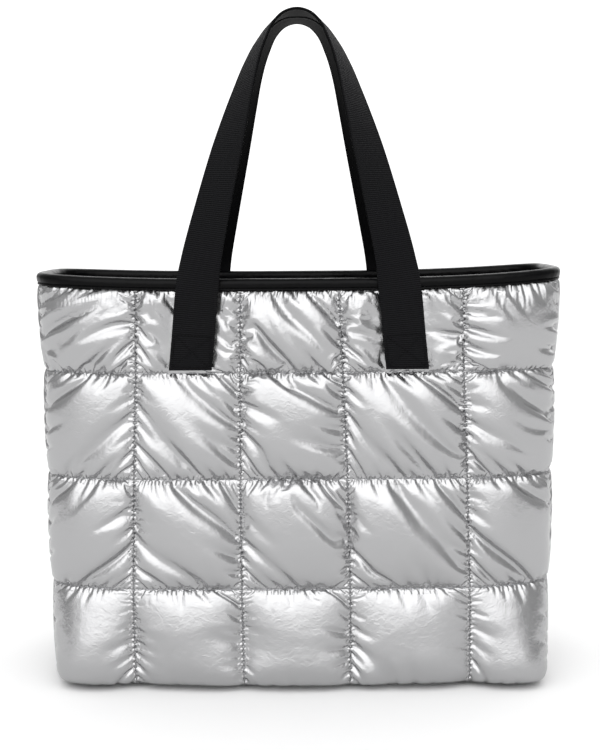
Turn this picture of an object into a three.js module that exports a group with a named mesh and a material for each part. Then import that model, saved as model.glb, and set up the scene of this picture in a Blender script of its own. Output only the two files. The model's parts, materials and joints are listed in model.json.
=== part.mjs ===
// Puffer tote bag: quilted padded walls round a thin lining, a bound rim and two carrying straps.
// Millimetres, +Z up, the front of the bag faces -Y, +X is on the right as seen from the front.
// The origin is the middle of the foot, on the surface that the bag stands on.
import * as THREE from 'three';

// The wall's inner face, which the padding stands out from
const wall_half_width = 233;
const wall_half_depth = 70;
const corner_power = 4.5; // 2 is an ellipse, larger is squarer
const rim_flare = 4.5; // how much further out the sides are at the rim than below it
const rim_height = 380;
const rim_lift_left = 5; // how much higher the rim is at the sides than in its middle
const rim_lift_right = 7.5;
const side_seam_half_depth = 38; // half of the width of the narrow side panels
const corner_start_share = 0.76; // share of the front's half length where the corner begins

// Padding
const seam_thickness = 3;
const crown_height = 11; // how far the padding stands above the seams on front and back
const gusset_crown_height = 5;
const crown_fullness = 0.5; // smaller is flatter on top and steeper at the seams
const curl_inset = 7; // how the walls turn in to meet the base
const curl_height = 14;
const foot_clearance = 0.8; // the walls' lower edge above the table
const curl_end_deg = 80;
const curl_middle_deg = 40;

// Clearances
const seam_gap = 0.3; // between two panels
const lining_gap = 0.5; // between a panel and the lining
const binding_gap = 0.3;
const strap_gap = 0.35; // between a strap and the padding under it

// Lining, base, rim binding
const lining_thickness = 1.5;
const base_thickness = 7.5;
const base_edge_round = 1.5;
const binding_height = 10.8;
const binding_thickness = 1.6;
const binding_round = 0.7;

// Straps
const strap_width = 38;
const strap_thickness = 2.5;
const strap_fold_thickness = 4;
const strap_edge_round = 0.8;
const strap_fold_height = 33;
const strap_seat = 78.6; // middle of the strap's thickness, forward of the bag's middle
const strap_apex_seat = 21; // the same at the top of the arch
const strap_half_spread = 88; // from the bag's middle to the strap's middle at the rim
const strap_rise = 237; // rim to the top of the arch
const press_margin = 6; // padding is pressed flat this far beyond the strap's edges

// Stitched rows, as shares of the rim's height, from the top down
const row_shares = [0.778, 0.521, 0.249];

// Stitched columns of front and back: distance from the middle as shares of wall_half_width
const column_seams = [
  { top: -0.607, middle: -0.646, bottom: -0.667 },
  { top: -0.216, middle: -0.230, bottom: -0.227 },
  { top: 0.148, middle: 0.187, bottom: 0.200 },
  { top: 0.614, middle: 0.653, bottom: 0.682 },
];

// How full each quilted cell is, as a share of crown_height: rows from the bottom up
const cell_fullness = [
  [0.95, 1.00, 1.00, 1.00, 0.95],
  [0.90, 1.00, 0.95, 1.00, 0.90],
  [0.85, 0.95, 1.00, 0.95, 0.90],
  [0.70, 0.85, 0.90, 0.85, 0.75],
];

// One half of a strap, from its stitched end to the top of the arch. rise is a share of strap_rise
// above the rim, spread of strap_half_spread, lean is how far it has come in to the apex seat,
// and twist is the turn of its face in degrees.
const strap_path = [
  { rise: -0.341, spread: 1.100, lean: 0.00, twist: 0 },
  { rise: -0.200, spread: 1.060, lean: 0.00, twist: 0 },
  { rise: -0.050, spread: 1.020, lean: 0.00, twist: 0 },
  { rise: 0.063, spread: 0.977, lean: 0.03, twist: 18 },
  { rise: 0.250, spread: 0.866, lean: 0.17, twist: 31 },
  { rise: 0.489, spread: 0.710, lean: 0.42, twist: 44 },
  { rise: 0.675, spread: 0.576, lean: 0.64, twist: 58 },
  { rise: 0.800, spread: 0.474, lean: 0.78, twist: 68 },
  { rise: 0.885, spread: 0.378, lean: 0.87, twist: 75 },
  { rise: 0.955, spread: 0.262, lean: 0.95, twist: 82 },
  { rise: 0.990, spread: 0.140, lean: 0.99, twist: 87 },
  { rise: 1.000, spread: 0.000, lean: 1.00, twist: 90 },
];

// Where the mesh has its lines across a cell, as shares of it
const cell_stops = [0, 0.12, 0.35, 0.65, 0.88, 1];
const row_stops = [0, 0.15, 0.5, 0.85, 1];
const outer_cell_stops = [0, 0.2, 0.6, 1];
const corner_stops = [0.2, 0.4, 0.6, 0.8, 1];
const gusset_stops = [0, 0.15, 0.5, 0.85, 1];
const strap_steps_per_span = 2;

// The plan: a rounded rectangle, with distances measured along it from the front's middle

const plan_steps = 3000;

function quarterPlan() {
  const points = [];
  let run = 0;
  for (let i = 0; i <= plan_steps; i++) {
    const angle = (i / plan_steps) * Math.PI / 2;
    const across = Math.sin(angle) / wall_half_width;
    const deep = Math.cos(angle) / wall_half_depth;
    const reach = (across ** corner_power + deep ** corner_power) ** (-1 / corner_power);
    const x = reach * Math.sin(angle);
    const y = reach * Math.cos(angle);
    if (i > 0) run += Math.hypot(x - points[i - 1].x, y - points[i - 1].y);
    points.push({ x, y, run });
  }
  return points;
}

const quarter = quarterPlan();
const quarter_length = quarter[plan_steps].run;

function quarterAt(run) {
  let low = 0;
  let high = plan_steps;
  while (high - low > 1) {
    const half = (low + high) >> 1;
    if (quarter[half].run <= run) low = half; else high = half;
  }
  const share = (run - quarter[low].run) / (quarter[high].run - quarter[low].run);
  return {
    x: THREE.MathUtils.lerp(quarter[low].x, quarter[high].x, share),
    y: THREE.MathUtils.lerp(quarter[low].y, quarter[high].y, share),
  };
}

function planPoint(distance) {
  const loop = 4 * quarter_length;
  const run = ((distance % loop) + loop) % loop;
  const part = Math.min(3, Math.floor(run / quarter_length));
  const local = [run, 2 * quarter_length - run, run - 2 * quarter_length, loop - run][part];
  const point = quarterAt(THREE.MathUtils.clamp(local, 0, quarter_length));
  return { x: part < 2 ? point.x : -point.x, y: part === 0 || part === 3 ? -point.y : point.y };
}

const side_seam_run = quarter.find((point) => point.y <= side_seam_half_depth).run;
const corner_start_run = corner_start_share * side_seam_run;

// Levels: the rows of mesh lines up the wall

const curl_end_sine = Math.sin(curl_end_deg * Math.PI / 180);
const curl_base = foot_clearance + seam_thickness * 0.943 - curl_height * (1 - curl_end_sine);

function curlLevel(degrees) {
  const angle = degrees * Math.PI / 180;
  const out = Math.cos(angle) / curl_inset;
  const down = Math.sin(angle) / curl_height;
  const length = Math.hypot(out, down);
  return {
    z: curl_base + curl_height * (1 - Math.sin(angle)),
    inset: curl_inset * (1 - Math.cos(angle)),
    out: out / length,
    down: down / length,
  };
}

function straightLevel(z) {
  return { z, inset: 0, out: 1, down: 0 };
}

const row_heights = row_shares.map((share) => share * rim_height);
const padding_top = rim_height - binding_height;
const wall_top = rim_height - binding_thickness - binding_gap;
const cell_bottom = curlLevel(curl_end_deg).z;
const cell_edges = [cell_bottom, row_heights[2], row_heights[1], row_heights[0], padding_top];

function wallLevels() {
  const levels = [curl_end_deg, curl_middle_deg, 0].map(curlLevel);
  for (let row = 0; row < 4; row++) {
    for (const stop of row_stops) {
      const z = THREE.MathUtils.lerp(cell_edges[row], cell_edges[row + 1], stop);
      if (row === 0 && stop < 0.5) continue;
      if (row > 0 && stop === 0) continue;
      levels.push(straightLevel(z));
    }
  }
  levels.push(straightLevel(wall_top));
  return levels;
}

// 0 up to the first stitched row, 1 at the top of the wall: flare and lift grow with it
function upperShare(z) {
  return THREE.MathUtils.clamp((z - row_heights[0]) / (wall_top - row_heights[0]), 0, 1);
}

function rimLift(x) {
  const share = Math.min(1, Math.abs(x) / wall_half_width);
  return (x < 0 ? rim_lift_left : rim_lift_right) * share ** 3;
}

// The point that stands `off` outward from the wall's inner face
function wallPoint(distance, level, off) {
  const plan = planPoint(distance);
  const upper = upperShare(level.z);
  const wide = (wall_half_width + rim_flare * upper - level.inset) / wall_half_width;
  const deep = (wall_half_depth - level.inset) / wall_half_depth;
  const x = plan.x * wide;
  const y = plan.y * deep;
  const steep_x = Math.abs(plan.x / wall_half_width) ** (corner_power - 1);
  const steep_y = Math.abs(plan.y / wall_half_depth) ** (corner_power - 1);
  const slope_x = Math.sign(x) * steep_x / (wall_half_width * wide);
  const slope_y = Math.sign(y) * steep_y / (wall_half_depth * deep);
  const length = Math.hypot(slope_x, slope_y);
  return new THREE.Vector3(
    x + (slope_x / length) * off * level.out,
    y + (slope_y / length) * off * level.out,
    level.z - off * level.down + rimLift(x) * upper,
  );
}

// Padding

function pillow(across, up) {
  const a = Math.max(0, 4 * across * (1 - across));
  const b = Math.max(0, 4 * up * (1 - up));
  return (a * b) ** crown_fullness;
}

function cellOf(z) {
  for (let row = 0; row < 4; row++) {
    if (z <= cell_edges[row + 1] + 1e-6) {
      return { row, up: (z - cell_edges[row]) / (cell_edges[row + 1] - cell_edges[row]) };
    }
  }
  return { row: 3, up: 1 };
}

function seamRun(seam, z) {
  const t = 1 - z / rim_height;
  const share = seam.top * (1 - t) * (1 - 2 * t)
    + seam.middle * 4 * t * (1 - t)
    + seam.bottom * t * (2 * t - 1);
  return share * wall_half_width;
}

const strap_end_spread = strap_path[0].spread * strap_half_spread;
const press_outer = strap_end_spread + strap_width / 2 + press_margin;
const press_inner = strap_path[2].spread * strap_half_spread - strap_width / 2 - press_margin;
const strap_back = strap_seat + strap_thickness / 2 - strap_fold_thickness;
const pressed_thickness = strap_back - strap_gap - wall_half_depth;

// Distances from the front's middle of the mesh lines across a front or back panel at height z
function columnRuns(z) {
  const seams = column_seams.map((seam) => seamRun(seam, z));
  const edge = side_seam_run - seam_gap / 2;
  const outerColumn = (seam, sign) => {
    const flat = outer_cell_stops.map((stop) => THREE.MathUtils.lerp(seam, sign * corner_start_run, stop));
    const corner = corner_stops.map((stop) => sign * THREE.MathUtils.lerp(corner_start_run, edge, stop));
    return [...flat, ...corner];
  };
  const strapColumn = (from, to, near, far) => [
    from, (from + near) / 2, near, (near + far) / 2, far, (far + to) / 2, to,
  ];
  const columns = [
    outerColumn(seams[0], -1).reverse(),
    strapColumn(seams[0], seams[1], -press_outer, -press_inner),
    cell_stops.map((stop) => THREE.MathUtils.lerp(seams[1], seams[2], stop)),
    strapColumn(seams[2], seams[3], press_inner, press_outer),
    outerColumn(seams[3], 1),
  ];
  const runs = [];
  columns.forEach((stops, column) => {
    const ends = [stops[0], stops[stops.length - 1]];
    stops.forEach((run, i) => {
      if (column > 0 && i === 0) return;
      runs.push({ run, column, across: (run - ends[0]) / (ends[1] - ends[0]) });
    });
  });
  return runs;
}

function panelThickness(column, across, z) {
  const { row, up } = cellOf(z);
  if (z > padding_top + 1e-6) return seam_thickness;
  return seam_thickness + crown_height * cell_fullness[row][column] * pillow(across, up);
}

// Meshes

function meshFrom(name, points, faces, colour, roughness, metalness) {
  const geometry = new THREE.BufferGeometry();
  const places = points.flatMap((p) => [p.x, p.y, p.z]);
  geometry.setAttribute('position', new THREE.Float32BufferAttribute(places, 3));
  geometry.setIndex(faces.flat());
  geometry.computeVertexNormals();
  const material = new THREE.MeshStandardMaterial({ color: colour, roughness, metalness });
  const mesh = new THREE.Mesh(geometry, material);
  mesh.name = name;
  return mesh;
}

// A closed slab between an outer and an inner grid of points, both [level][line]
function slab(outer, inner) {
  const rows = outer.length;
  const lines = outer[0].length;
  const points = [...outer.flat(), ...inner.flat()];
  const out = (row, line) => row * lines + line;
  const into = (row, line) => rows * lines + row * lines + line;
  const faces = [];
  const quad = (a, b, c, d) => faces.push([a, b, c], [a, c, d]);
  for (let row = 0; row < rows - 1; row++) {
    for (let line = 0; line < lines - 1; line++) {
      quad(out(row, line), out(row, line + 1), out(row + 1, line + 1), out(row + 1, line));
      quad(into(row, line), into(row + 1, line), into(row + 1, line + 1), into(row, line + 1));
    }
  }
  for (let line = 0; line < lines - 1; line++) {
    quad(into(0, line), into(0, line + 1), out(0, line + 1), out(0, line));
    const top = rows - 1;
    quad(out(top, line), out(top, line + 1), into(top, line + 1), into(top, line));
  }
  for (let row = 0; row < rows - 1; row++) {
    quad(into(row, 0), out(row, 0), out(row + 1, 0), into(row + 1, 0));
    const end = lines - 1;
    quad(out(row, end), into(row, end), into(row + 1, end), out(row + 1, end));
  }
  return { points, faces };
}

// Closed loops of points joined one to the next: first and last close on a pole, or on each other
function loft(loops, poles) {
  const count = loops[0].length;
  const points = loops.flat();
  const faces = [];
  const at = (loop, i) => loop * count + (i % count);
  const joins = poles ? loops.length - 1 : loops.length;
  for (let loop = 0; loop < joins; loop++) {
    const next = (loop + 1) % loops.length;
    for (let i = 0; i < count; i++) {
      faces.push([at(loop, i), at(loop, i + 1), at(next, i + 1)]);
      faces.push([at(loop, i), at(next, i + 1), at(next, i)]);
    }
  }
  if (poles) {
    points.push(poles[0], poles[1]);
    const first = points.length - 2;
    const last = loops.length - 1;
    for (let i = 0; i < count; i++) {
      faces.push([first, at(0, i + 1), at(0, i)], [first + 1, at(last, i), at(last, i + 1)]);
    }
  }
  return { points, faces };
}

const levels = wallLevels();

function paddedPanel(name, middle_run) {
  const outer = [];
  const inner = [];
  for (const level of levels) {
    const runs = columnRuns(level.z);
    outer.push(runs.map(({ run, column, across }) => {
      let thickness = panelThickness(column, across, level.z);
      const under_strap = Math.abs(run) >= press_inner - 1e-6 && Math.abs(run) <= press_outer + 1e-6;
      if (under_strap && level.z > row_heights[0]) thickness = Math.min(thickness, pressed_thickness);
      return wallPoint(middle_run + run, level, thickness);
    }));
    inner.push(runs.map(({ run }) => wallPoint(middle_run + run, level, 0)));
  }
  const { points, faces } = slab(outer, inner);
  return meshFrom(name, points, faces, 0xb9bcc2, 0.35, 0.6);
}

const gusset_half_run = quarter_length - side_seam_run - seam_gap / 2;

function gussetPanel(name, middle_run) {
  const outer = [];
  const inner = [];
  for (const level of levels) {
    const { up } = cellOf(level.z);
    const padded = level.z <= padding_top + 1e-6;
    const runs = gusset_stops.map((stop) => THREE.MathUtils.lerp(-gusset_half_run, gusset_half_run, stop));
    outer.push(runs.map((run, i) => {
      const puff = padded ? gusset_crown_height * pillow(gusset_stops[i], up) : 0;
      return wallPoint(middle_run + run, level, seam_thickness + puff);
    }));
    inner.push(runs.map((run) => wallPoint(middle_run + run, level, 0)));
  }
  const { points, faces } = slab(outer, inner);
  return meshFrom(name, points, faces, 0xb9bcc2, 0.35, 0.6);
}

// The mesh lines of a whole loop round the bag, the same as the panels' own at that height
function loopRuns(z) {
  const panel = columnRuns(z).map(({ run }) => run);
  const gusset = gusset_stops.map((stop) => THREE.MathUtils.lerp(-gusset_half_run, gusset_half_run, stop));
  return [
    ...panel,
    ...gusset.map((run) => quarter_length + run),
    ...panel.map((run) => 2 * quarter_length + run),
    ...gusset.map((run) => 3 * quarter_length + run),
  ];
}

function wallLoop(level, off) {
  return loopRuns(level.z).map((run) => wallPoint(run, level, off));
}

function lining() {
  const heights = [
    curlLevel(curl_middle_deg), curlLevel(0), straightLevel(row_heights[0]), straightLevel(wall_top),
  ];
  const outer = heights.map((level) => wallLoop(level, -lining_gap));
  const inner = heights.map((level) => wallLoop(level, -lining_gap - lining_thickness)).reverse();
  const floor = outer[0][0].z;
  const inner_floor = floor + lining_thickness;
  inner[inner.length - 1].forEach((point) => { point.z = inner_floor; });
  const poles = [new THREE.Vector3(0, 0, floor), new THREE.Vector3(0, 0, inner_floor)];
  const { points, faces } = loft([...outer, ...inner], poles);
  return meshFrom('lining', points, faces, 0x151517, 0.8, 0);
}

function basePanel() {
  const end = curlLevel(curl_end_deg);
  const foot = { z: 0, inset: end.inset + seam_gap + 0.1, out: 1, down: 0 };
  const at = (z, off) => wallLoop(foot, off).map((point) => point.setZ(z));
  const loops = [
    at(0, -base_edge_round),
    at(base_edge_round, 0),
    at(base_thickness - base_edge_round, 0),
    at(base_thickness, -base_edge_round),
  ];
  const poles = [new THREE.Vector3(0, 0, 0), new THREE.Vector3(0, 0, base_thickness)];
  const { points, faces } = loft(loops, poles);
  return meshFrom('base_panel', points, faces, 0xa9acb2, 0.4, 0.5);
}

// A folded strip over the top edge of panels and lining, as a section swept round the rim
function rimBinding() {
  const out_face = seam_thickness + binding_gap + binding_thickness;
  const out_slot = seam_thickness + binding_gap;
  const in_slot = -lining_gap - lining_thickness - binding_gap;
  const in_face = in_slot - binding_thickness;
  const low = padding_top + binding_gap;
  const section = [
    [out_face, low + binding_round],
    [out_face, rim_height - 2 * binding_round],
    [out_face - 2 * binding_round, rim_height],
    [in_face + 2 * binding_round, rim_height],
    [in_face, rim_height - 2 * binding_round],
    [in_face, low],
    [in_slot, low],
    [in_slot, rim_height - binding_thickness],
    [out_slot, rim_height - binding_thickness],
    [out_slot, low],
  ];
  const loops = section.map(([off, z]) => {
    const level = straightLevel(z);
    return loopRuns(wall_top).map((run) => wallPoint(run, level, off));
  });
  const { points, faces } = loft(loops, null);
  return meshFrom('rim_binding', points, faces, 0x101012, 0.5, 0);
}

// Straps

function strapRows() {
  const left = strap_path.map((row) => ({
    point: new THREE.Vector3(
      -row.spread * strap_half_spread,
      -THREE.MathUtils.lerp(strap_seat, strap_apex_seat, row.lean),
      rim_height + row.rise * strap_rise,
    ),
    twist: row.twist * Math.PI / 180,
  }));
  const right = left.slice(0, -1).reverse().map(({ point, twist }) => ({
    point: new THREE.Vector3(-point.x, point.y, point.z),
    twist,
  }));
  return [...left, ...right];
}

function strapSection(point, tangent, twist, back_thickness) {
  const forward = new THREE.Vector3(0, -1, 0);
  forward.addScaledVector(tangent, -forward.dot(tangent)).normalize();
  const side = new THREE.Vector3().crossVectors(tangent, forward);
  const across = side.clone().multiplyScalar(Math.cos(twist)).addScaledVector(forward, Math.sin(twist));
  const face = forward.clone().multiplyScalar(Math.cos(twist)).addScaledVector(side, -Math.sin(twist));
  const half = strap_width / 2;
  const front = strap_thickness / 2;
  const back = front - back_thickness;
  const corners = [
    [half - strap_edge_round, front],
    [half, front - strap_edge_round],
    [half, back + strap_edge_round],
    [half - strap_edge_round, back],
    [-half + strap_edge_round, back],
    [-half, back + strap_edge_round],
    [-half, front - strap_edge_round],
    [-half + strap_edge_round, front],
  ];
  return corners.map(([a, b]) => point.clone().addScaledVector(across, a).addScaledVector(face, b));
}

function handle(name, half_turns) {
  const rows = strapRows();
  const path = new THREE.CatmullRomCurve3(rows.map(({ point }) => point), false, 'centripetal');
  const twists = rows.map(({ twist }) => new THREE.Vector3(twist, 0, 0));
  const turns = new THREE.CatmullRomCurve3(twists, false, 'catmullrom', 0.5);
  const spans = rows.length - 1;
  const fold_top = rows[0].point.z + strap_fold_height;
  const fold_share = (fold_top - rows[0].point.z) / (rows[1].point.z - rows[0].point.z) / spans;
  const shares = [];
  for (let i = 0; i <= spans * strap_steps_per_span; i++) shares.push(i / (spans * strap_steps_per_span));
  shares.push(fold_share - 0.0001, fold_share + 0.0012, 1 - fold_share + 0.0001, 1 - fold_share - 0.0012);
  shares.sort((a, b) => a - b);
  const loops = shares.map((share) => {
    const folded = share < fold_share || share > 1 - fold_share;
    const thickness = folded ? strap_fold_thickness : strap_thickness;
    return strapSection(path.getPoint(share), path.getTangent(share), turns.getPoint(share).x, thickness);
  });
  const middle = (loop) => loop.reduce((sum, p) => sum.add(p), new THREE.Vector3()).divideScalar(loop.length);
  const { points, faces } = loft(loops, [middle(loops[0]), middle(loops[loops.length - 1])]);
  const up = new THREE.Vector3(0, 0, 1);
  const turned = points.map((point) => point.applyAxisAngle(up, half_turns * Math.PI));
  return meshFrom(name, turned, faces, 0x1b1b1e, 0.7, 0);
}

const bag = new THREE.Group();
bag.name = 'puffer_tote_bag';
bag.add(
  paddedPanel('front_panel', 0),
  paddedPanel('back_panel', 2 * quarter_length),
  gussetPanel('right_gusset', quarter_length),
  gussetPanel('left_gusset', 3 * quarter_length),
  basePanel(),
  lining(),
  rimBinding(),
  handle('front_handle', 0),
  handle('back_handle', 1),
);

export default bag;
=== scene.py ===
"""Puffer tote bag: silver quilted walls, black lining, rolled rim binding and woven straps.

Metres, +Z up, the front of the bag faces -Y, and the bag stands on z = 0.
"""
import json
from math import cos, pi, radians, sin

import bpy
import numpy as np
from mathutils import Matrix, Vector

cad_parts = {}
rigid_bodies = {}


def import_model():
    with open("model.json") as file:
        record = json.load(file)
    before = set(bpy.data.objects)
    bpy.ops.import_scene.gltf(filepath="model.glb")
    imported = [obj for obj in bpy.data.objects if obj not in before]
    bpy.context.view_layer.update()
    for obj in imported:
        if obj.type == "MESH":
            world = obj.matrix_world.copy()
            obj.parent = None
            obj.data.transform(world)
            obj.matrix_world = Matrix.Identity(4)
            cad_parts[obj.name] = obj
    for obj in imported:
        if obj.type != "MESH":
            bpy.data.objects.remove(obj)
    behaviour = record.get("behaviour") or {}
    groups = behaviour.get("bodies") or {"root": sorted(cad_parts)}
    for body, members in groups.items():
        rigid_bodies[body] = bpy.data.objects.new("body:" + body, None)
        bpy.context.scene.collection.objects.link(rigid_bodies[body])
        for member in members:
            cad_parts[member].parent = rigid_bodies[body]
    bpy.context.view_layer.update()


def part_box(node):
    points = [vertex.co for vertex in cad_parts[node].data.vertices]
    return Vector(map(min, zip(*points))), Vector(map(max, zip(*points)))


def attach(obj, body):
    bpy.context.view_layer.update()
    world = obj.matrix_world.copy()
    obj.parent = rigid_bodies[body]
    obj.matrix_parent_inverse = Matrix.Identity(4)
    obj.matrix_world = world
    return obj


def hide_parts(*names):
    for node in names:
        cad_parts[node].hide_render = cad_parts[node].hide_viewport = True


bl_info = {
    "name": "Puffer tote bag",
    "version": (1, 0, 0),
    "blender": (4, 5, 0),
    "location": "View3D > Sidebar > Tote",
    "description": "Builds a quilted puffer tote bag with its lining, binding, straps and studio",
    "category": "Add Mesh",
}

for thing in list(bpy.data.objects):
    bpy.data.objects.remove(thing)

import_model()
BODY = "root"
MM = 0.001

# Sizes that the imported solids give
LINING_LOW, LINING_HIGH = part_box("lining")
BINDING_LOW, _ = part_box("rim_binding")
_, BASE_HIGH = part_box("base_panel")

# The wall's inner face in plan, and how it turns in at the foot
RIM_FLARE = 4.5 * MM
LINING_GAP = 0.5 * MM
LINING_THICKNESS = 1.5 * MM
WALL_HALF_WIDTH = LINING_HIGH[0] + LINING_GAP - RIM_FLARE
WALL_HALF_DEPTH = LINING_HIGH[1] + LINING_GAP
CORNER_POWER = 4.5
SEAM_THICKNESS = 3 * MM
SEAM_GAP = 0.3 * MM
CURL_INSET = 7 * MM
CURL_HEIGHT = 14 * MM
CURL_END = radians(80)
FOOT_CLEARANCE = 0.8 * MM
SIDE_SEAM_HALF_DEPTH = 38 * MM

# Near the foot: how the padding bulges over the base, how square and how far forward the corners
# stand, and how what is lowest is tucked in and lifted
FOOT_BULGE = 6.5 * MM
FOOT_BULGE_UP = 8 * MM
FOOT_BULGE_SPREAD = 28 * MM
FOOT_SQUARE_HEIGHT = 90 * MM
FOOT_TAPER = 0.019
CORNER_START = 150 * MM
CORNER_SPAN = 85 * MM
CORNER_FORWARD = 0.42
CORNER_FORWARD_RIGHT = 0.09
TUCK_DEPTH = 5.5 * MM
TUCK_HEIGHT = 7.5 * MM
EDGE_LIFT = 2.2 * MM
EDGE_LIFT_HEIGHT = 12 * MM
LOWEST_CLOTH = 0.4 * MM
LOWEST_THREAD = 0.2 * MM

# Rim and binding
BINDING_GAP = 0.3 * MM
BINDING_THICKNESS = 1.6 * MM
BINDING_HEIGHT = 10.8 * MM
PADDING_TOP = BINDING_LOW[2] - BINDING_GAP
RIM_HEIGHT = PADDING_TOP + BINDING_HEIGHT
WALL_TOP = RIM_HEIGHT - BINDING_THICKNESS - BINDING_GAP
RIM_LIFT_LEFT = 5 * MM
RIM_LIFT_RIGHT = 7.5 * MM

# Stitched rows as shares of the rim's height, and stitched columns as shares of the half width
# at the rim, at half height and at the foot
ROW_SHARES = (0.249, 0.521, 0.778)
COLUMN_SEAMS = (
    (-0.607, -0.646, -0.667),
    (-0.216, -0.230, -0.227),
    (0.148, 0.187, 0.200),
    (0.614, 0.653, 0.682),
)
# How full each cell is, by row from the foot up and by column from the left
CELL_FULLNESS = np.array([
    [0.95, 1.00, 1.00, 1.00, 0.95],
    [0.90, 1.00, 0.95, 1.00, 0.90],
    [0.85, 0.95, 1.00, 0.95, 0.90],
    [0.80, 0.85, 0.95, 0.85, 0.80],
])

# For the rows of cells from the foot up: how hard the padding pushes, how high the cloth's first
# ripples are, and how much cloth is to spare in the cells' middle, beside their seams and at a slant
ROW_PUSH = (1.2, 1.2, 1.0, 0.7)
ROW_RIPPLE = (0.25 * MM, 0.35 * MM, 0.45 * MM, 0.9 * MM)
ROW_SPARE = (0.028, 0.05, 0.06, 0.095)
ROW_SPARE_AT_SEAMS = (0.06, 0.075, 0.085, 0.13)
CELL_SLANT = np.array([
    [-0.03, 0.02, 0.02, 0.025, 0.03],
    [-0.05, 0.05, 0.05, 0.05, 0.05],
    [-0.06, 0.07, 0.06, 0.07, 0.06],
    [-0.07, 0.05, 0.06, 0.06, 0.06],
])

# Straps
STRAP_WIDTH = 38 * MM
STRAP_THICKNESS = 2.5 * MM
STRAP_FOLD_THICKNESS = 4 * MM
STRAP_FOLD_HEIGHT = 33 * MM
STRAP_SEAT = 78.6 * MM
STRAP_APEX_SEAT = 21 * MM
STRAP_HALF_SPREAD = 88 * MM
STRAP_RISE = 237 * MM
PRESS_MARGIN = 1 * MM
PRESS_SLOPE = 0.4
LEVEL_END_REACH = 45 * MM
SEWN_BOX_HALF_WIDTH = 16.2 * MM
SEWN_BOX_LOW = 2.5 * MM
SEWN_BOX_HIGH = 31 * MM
# A stitch's length, the gap to the next one, and the thread's radius
STRAP_STITCH = (2.4 * MM, 0.7 * MM, 0.4 * MM)
TOPSTITCH = (3.0 * MM, 1.0 * MM, 0.28 * MM)
STRAP_PATH = (
    # rise above the rim, spread, lean to the apex seat, twist in degrees
    (-0.341, 1.100, 0.00, 0),
    (-0.200, 1.060, 0.00, 0),
    (-0.050, 1.020, 0.00, 0),
    (0.063, 0.977, 0.03, 18),
    (0.250, 0.866, 0.17, 31),
    (0.489, 0.710, 0.42, 44),
    (0.675, 0.576, 0.64, 58),
    (0.800, 0.474, 0.78, 68),
    (0.885, 0.378, 0.87, 75),
    (0.955, 0.262, 0.95, 82),
    (0.990, 0.140, 0.99, 87),
    (1.000, 0.000, 1.00, 90),
)


def hex_to_linear(code):
    """An sRGB hex colour as linear RGB."""
    parts = [int(code[i:i + 2], 16) / 255 for i in (0, 2, 4)]
    return tuple(c / 12.92 if c <= 0.04045 else ((c + 0.055) / 1.055) ** 2.4 for c in parts)


def a_colour(name, description, code):
    """A colour that a user would change, from its hex value."""
    return bpy.props.FloatVectorProperty(
        name=name, description=description, default=hex_to_linear(code), min=0, max=1, subtype="COLOR",
    )


def a_length(name, description, default):
    """A length that a user would change."""
    return bpy.props.FloatProperty(name=name, description=description, default=default, unit="LENGTH")


class ToteColourSettings(bpy.types.PropertyGroup):
    """Colours of the bag's cloths and threads"""

    film: a_colour("Silver film", "Colour of the quilted shell's film", "aaaaab")
    webbing: a_colour("Webbing crests", "Colour of the straps' ribs", "1a1a1c")
    # The hollows colour is painted shade between the straps' ribs
    webbing_hollows_painted_shade: a_colour("Webbing hollows", "Colour between the straps' ribs", "060607")
    webbing_back_painted_shade: a_colour("Webbing back", "Colour of the straps' inner face", "020203")
    # The back colour is painted shade on the straps' inner face, which faces away from the light
    tape: a_colour("Rim tape", "Colour of the binding's tape", "030304")
    lining: a_colour("Lining", "Colour of the lining cloth", "060607")
    grey_thread: a_colour("Grey thread", "Colour of the stitches on the quilted shell", "8f9196")
    black_thread: a_colour("Black thread", "Colour of the stitches on the binding and straps", "020203")


# The wall's plan: a rounded rectangle, with runs measured along it from the front's middle


def quarter_plan(steps=3000):
    """Points of a quarter of the plan, from the front's middle to the side's, and their runs."""
    angle = np.linspace(0, pi / 2, steps + 1)
    across = np.sin(angle) / WALL_HALF_WIDTH
    deep = np.cos(angle) / WALL_HALF_DEPTH
    reach = (across ** CORNER_POWER + deep ** CORNER_POWER) ** (-1 / CORNER_POWER)
    x, y = reach * np.sin(angle), reach * np.cos(angle)
    run = np.concatenate([[0], np.cumsum(np.hypot(np.diff(x), np.diff(y)))])
    return x, y, run


PLAN_X, PLAN_Y, PLAN_RUN = quarter_plan()
QUARTER = PLAN_RUN[-1]
SIDE_SEAM_RUN = PLAN_RUN[np.argmax(PLAN_Y <= SIDE_SEAM_HALF_DEPTH)]


def plan_point(run):
    """x and y on the plan at these runs, which go round the bag by the right side first."""
    loop = 4 * QUARTER
    run = np.mod(run, loop)
    part = np.minimum(3, (run // QUARTER).astype(int))
    ways = [run, 2 * QUARTER - run, run - 2 * QUARTER, loop - run]
    local = np.choose(part, ways)
    x = np.interp(local, PLAN_RUN, PLAN_X)
    y = np.interp(local, PLAN_RUN, PLAN_Y)
    return np.where(part < 2, x, -x), np.where((part == 0) | (part == 3), -y, y)


# Heights along the wall: a short curl in from the base, then straight up
CURL_BASE = FOOT_CLEARANCE + SEAM_THICKNESS * 0.943 - CURL_HEIGHT * (1 - sin(CURL_END))
CURL_ANGLES = np.linspace(CURL_END, 0, 200)
CURL_Z = CURL_BASE + CURL_HEIGHT * (1 - np.sin(CURL_ANGLES))
CURL_IN = CURL_INSET * (1 - np.cos(CURL_ANGLES))
CURL_UP = np.concatenate([[0], np.cumsum(np.hypot(np.diff(CURL_Z), np.diff(CURL_IN)))])
CURL_LENGTH = CURL_UP[-1]


def up_of_height(z):
    """Length up the wall from its lower edge to height z, above the curl."""
    return CURL_LENGTH + (z - CURL_Z[-1])


ROW_EDGES = np.array(
    [0.0] + [up_of_height(share * RIM_HEIGHT) for share in ROW_SHARES] + [up_of_height(PADDING_TOP)]
)
FIRST_ROW_Z = ROW_SHARES[-1] * RIM_HEIGHT


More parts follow.
